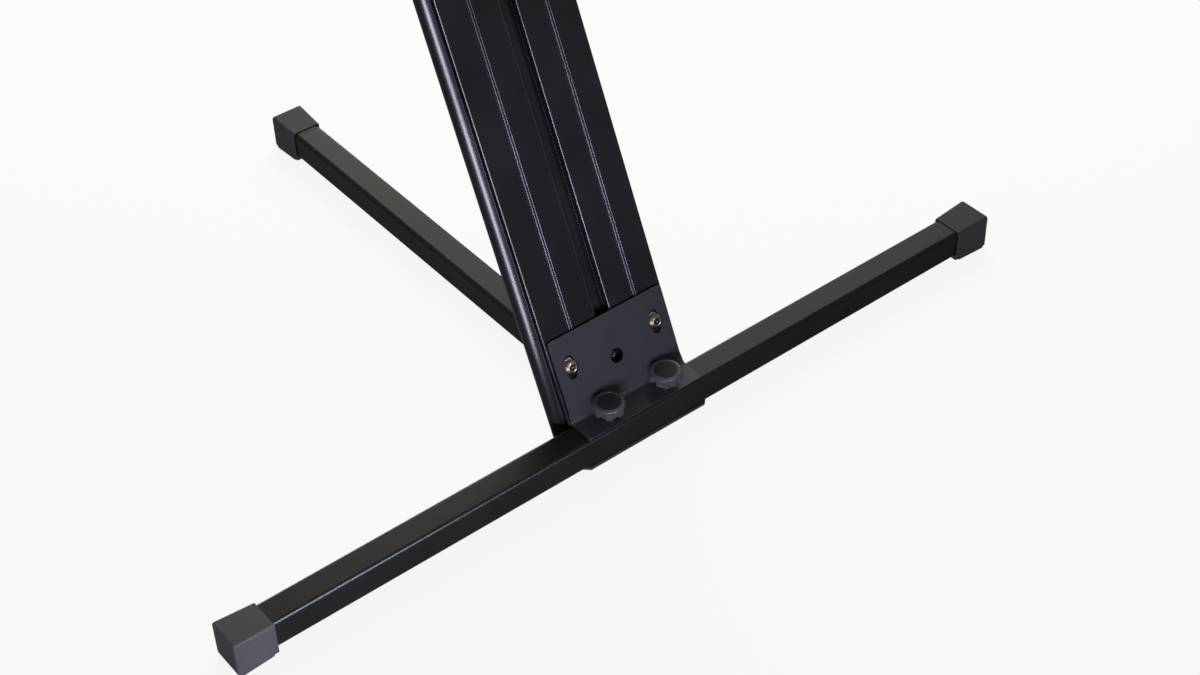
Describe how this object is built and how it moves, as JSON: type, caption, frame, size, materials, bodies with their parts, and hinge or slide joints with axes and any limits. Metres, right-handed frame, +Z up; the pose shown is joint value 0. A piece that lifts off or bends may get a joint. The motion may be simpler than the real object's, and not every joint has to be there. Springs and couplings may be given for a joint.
{
  "type": "keyboard stand",
  "caption": "Column keyboard stand: leaning extruded column on a crossbar and folding rear leg with rubber feet, hand-knob clamps, and sliding tiers of folding padded arms.",
  "frame": {"origin": "on the floor, under the middle of the stand's box", "axes": "+X along the crossbar, +Y from the crossbar towards the rear leg, +Z up"},
  "size_m": [0.952, 0.8398, 1.16],
  "materials": {
    "black_tube": "satin powder coat",
    "column_anodised": "satin black anodised",
    "black_plate": "fine powder coat",
    "carriage_anodised": "satin black anodised",
    "foot_rubber": "matte moulded rubber",
    "pad_rubber": "ribbed matte rubber",
    "black_plastic": "fine-textured moulded nylon",
    "steel": "bright stainless",
    "black_steel": "black oxide",
    "yellow_zinc": "yellow zinc plate",
    "brass": "turned brass",
    "white_nylon": "natural nylon"
  },
  "bodies": {
    "stand": {"crossbar_tube": "black_tube", "crossbar_foot_left": "foot_rubber", "crossbar_foot_right": "foot_rubber", "base_plate": "black_plate", "clinch_nuts": "steel", "crossbar_bracket": "black_plate", "bracket_side_screws": "steel", "bracket_slot_washers": "yellow_zinc", "bracket_centre_screw": "black_steel", "column_extrusion": "column_anodised", "column_foot": "black_plastic", "column_foot_screws": "steel", "column_top_cap": "black_plastic", "leg_hinge_left": "black_plate", "leg_hinge_right": "black_plate", "leg_hinge_screws": "steel", "leg_pivot_bolt": "steel"},
    "rear_leg": {"rear_leg_tube": "black_tube", "rear_leg_foot": "foot_rubber", "rear_leg_plug": "black_plastic", "leg_bushes": "white_nylon"},
    "leg_clamp_washer": {"leg_clamp_washer": "steel"},
    "leg_clamp_knob": {"leg_clamp_knob": "black_plastic", "leg_clamp_insert": "brass"},
    "crossbar_washer_left": {"crossbar_washer_left": "steel"},
    "crossbar_knob_left": {"crossbar_knob_left": "black_plastic", "crossbar_stud_left": "steel"},
    "crossbar_washer_right": {"crossbar_washer_right": "steel"},
    "crossbar_knob_right": {"crossbar_knob_right": "black_plastic", "crossbar_stud_right": "steel"},
    "lower_tier": {"lower_carriage": "carriage_anodised", "lower_glides": "white_nylon", "lower_beam": "black_tube", "lower_beam_plugs": "black_plastic", "lower_saddles": "black_plate", "lower_arm_bolts": "steel"},
    "lower_shoe": {"lower_shoe": "white_nylon"},
    "lower_clamp_knob": {"lower_clamp_knob": "black_plastic", "lower_clamp_stud": "steel"},
    "lower_arm_left": {"lower_arm_left": "black_tube", "lower_pad_left": "pad_rubber", "lower_cap_left": "black_plastic"},
    "lower_arm_right": {"lower_arm_right": "black_tube", "lower_pad_right": "pad_rubber", "lower_cap_right": "black_plastic"},
    "upper_tier": {"upper_carriage": "carriage_anodised", "upper_glides": "white_nylon", "upper_beam": "black_tube", "upper_beam_plugs": "black_plastic", "upper_saddles": "black_plate", "upper_arm_bolts": "steel"},
    "upper_shoe": {"upper_shoe": "white_nylon"},
    "upper_clamp_knob": {"upper_clamp_knob": "black_plastic", "upper_clamp_stud": "steel"},
    "upper_arm_left": {"upper_arm_left": "black_tube", "upper_pad_left": "pad_rubber", "upper_cap_left": "black_plastic"},
    "upper_arm_right": {"upper_arm_right": "black_tube", "upper_pad_right": "pad_rubber", "upper_cap_right": "black_plastic"}
  },
  "joints": [
    {"name": "rear_leg_fold", "type": "hinge", "parent": "stand", "child": "rear_leg", "pos_m": [0, -0.14188, 0.0227], "axis": [1, 0, 0], "range_deg": [0, 66.25]},
    {"name": "leg_clamp_knob_climb", "type": "slide", "parent": "stand", "child": "leg_clamp_washer", "axis": [1, 0, 0], "range_m": [0, 0.006]},
    {"name": "leg_clamp_knob_turn", "type": "hinge", "parent": "leg_clamp_washer", "child": "leg_clamp_knob", "pos_m": [0, -0.14188, 0.0227], "axis": [1, 0, 0], "range_deg": [0, 1440]},
    {"name": "crossbar_knob_left_climb", "type": "slide", "parent": "stand", "child": "crossbar_washer_left", "axis": [0, 0, 1], "range_m": [0, 0.008]},
    {"name": "crossbar_knob_left_turn", "type": "hinge", "parent": "crossbar_washer_left", "child": "crossbar_knob_left", "pos_m": [-0.036, -0.2301, 0.0417], "axis": [0, 0, 1], "range_deg": [0, 2304]},
    {"name": "crossbar_knob_right_climb", "type": "slide", "parent": "stand", "child": "crossbar_washer_right", "axis": [0, 0, 1], "range_m": [0, 0.008]},
    {"name": "crossbar_knob_right_turn", "type": "hinge", "parent": "crossbar_washer_right", "child": "crossbar_knob_right", "pos_m": [0.036, -0.2301, 0.0417], "axis": [0, 0, 1], "range_deg": [0, 2304]},
    {"name": "lower_tier_slide", "type": "slide", "parent": "stand", "child": "lower_tier", "axis": [0, 0.4027, 0.9153], "range_m": [-0.3, 0.08]},
    {"name": "lower_clamp_knob_climb", "type": "slide", "parent": "lower_tier", "child": "lower_shoe", "axis": [0, -0.9153, 0.4027], "range_m": [0, 0.002]},
    {"name": "lower_clamp_knob_turn", "type": "hinge", "parent": "lower_shoe", "child": "lower_clamp_knob", "pos_m": [0, 0.07432, 0.69406], "axis": [0, -0.9153, 0.4027], "range_deg": [0, 480]},
    {"name": "lower_arm_left_fold", "type": "hinge", "parent": "lower_tier", "child": "lower_arm_left", "pos_m": [-0.168, 0.0451, 0.77465], "axis": [-1, 0, 0], "range_deg": [0, 113.75]},
    {"name": "lower_arm_right_fold", "type": "hinge", "parent": "lower_tier", "child": "lower_arm_right", "pos_m": [0.168, 0.0451, 0.77465], "axis": [-1, 0, 0], "range_deg": [0, 113.75]},
    {"name": "upper_tier_slide", "type": "slide", "parent": "stand", "child": "upper_tier", "axis": [0, 0.4027, 0.9153], "range_m": [-0.08, 0.1]},
    {"name": "upper_clamp_knob_climb", "type": "slide", "parent": "upper_tier", "child": "upper_shoe", "axis": [0, -0.9153, 0.4027], "range_m": [0, 0.002]},
    {"name": "upper_clamp_knob_turn", "type": "hinge", "parent": "upper_shoe", "child": "upper_clamp_knob", "pos_m": [0, 0.19756, 0.97415], "axis": [0, -0.9153, 0.4027], "range_deg": [0, 480]},
    {"name": "upper_arm_left_fold", "type": "hinge", "parent": "upper_tier", "child": "upper_arm_left", "pos_m": [-0.125, 0.16834, 1.05474], "axis": [-1, 0, 0], "range_deg": [0, 113.75]},
    {"name": "upper_arm_right_fold", "type": "hinge", "parent": "upper_tier", "child": "upper_arm_right", "pos_m": [0.125, 0.16834, 1.05474], "axis": [-1, 0, 0], "range_deg": [0, 113.75]}
  ],
  "couplings": [
    {"joint": "leg_clamp_knob_turn", "follows": "leg_clamp_knob_climb", "rad_per_m": 4188.8},
    {"joint": "crossbar_knob_left_turn", "follows": "crossbar_knob_left_climb", "rad_per_m": 5026.5},
    {"joint": "crossbar_knob_right_turn", "follows": "crossbar_knob_right_climb", "rad_per_m": 5026.5},
    {"joint": "lower_clamp_knob_turn", "follows": "lower_clamp_knob_climb", "rad_per_m": 4188.8},
    {"joint": "upper_clamp_knob_turn", "follows": "upper_clamp_knob_climb", "rad_per_m": 4188.8}
  ]
}
